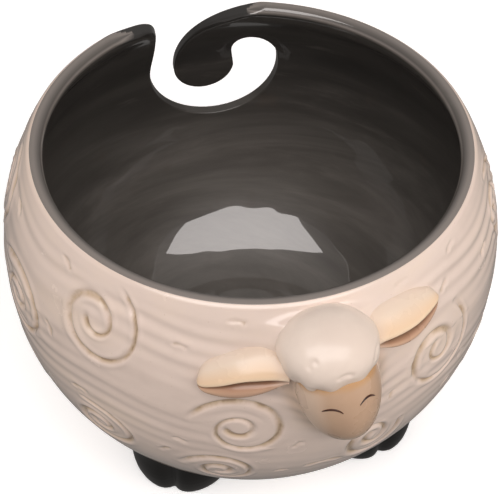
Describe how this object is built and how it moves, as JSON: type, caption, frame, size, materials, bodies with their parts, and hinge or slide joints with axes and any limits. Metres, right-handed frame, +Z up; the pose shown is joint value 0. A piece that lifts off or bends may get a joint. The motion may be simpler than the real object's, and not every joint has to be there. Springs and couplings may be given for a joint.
{
  "type": "yarn bowl",
  "caption": "Round glazed ceramic yarn bowl shaped as a sheep, with a hooked yarn slot cut in the back wall and cloven hooves to stand on.",
  "frame": {"origin": "on the table under the middle of the whole outline, 7.8 mm in front of the bowl's own axis", "axes": "+Z up; the sheep looks along -Y; +X is the sheep's left; the yarn slot is at the back, just to the +X side of +Y"},
  "size_m": [0.16, 0.1756, 0.1174],
  "materials": {
    "cream_glaze": "glossy clear glaze over cream clay, brown stain left in the carved lines",
    "slate_glaze": "glossy dark grey glaze with faint brushed bands",
    "wool_glaze": "glossy pale cream glaze",
    "peach_glaze": "satin peach glaze, darker where it is pooled",
    "ear_glaze": "satin pale peach glaze",
    "eye_paint": "dark brown underglaze line",
    "hoof_glaze": "glossy black glaze"
  },
  "bodies": {
    "root": {"bowl_wall": "cream_glaze", "glaze_lining": "slate_glaze", "wool_cap": "wool_glaze", "face": "peach_glaze", "left_ear": "ear_glaze", "right_ear": "ear_glaze", "left_eye_line": "eye_paint", "right_eye_line": "eye_paint", "front_right_hoof": "hoof_glaze", "front_left_hoof": "hoof_glaze", "rear_left_hoof": "hoof_glaze", "rear_right_hoof": "hoof_glaze"}
  },
  "joints": []
}
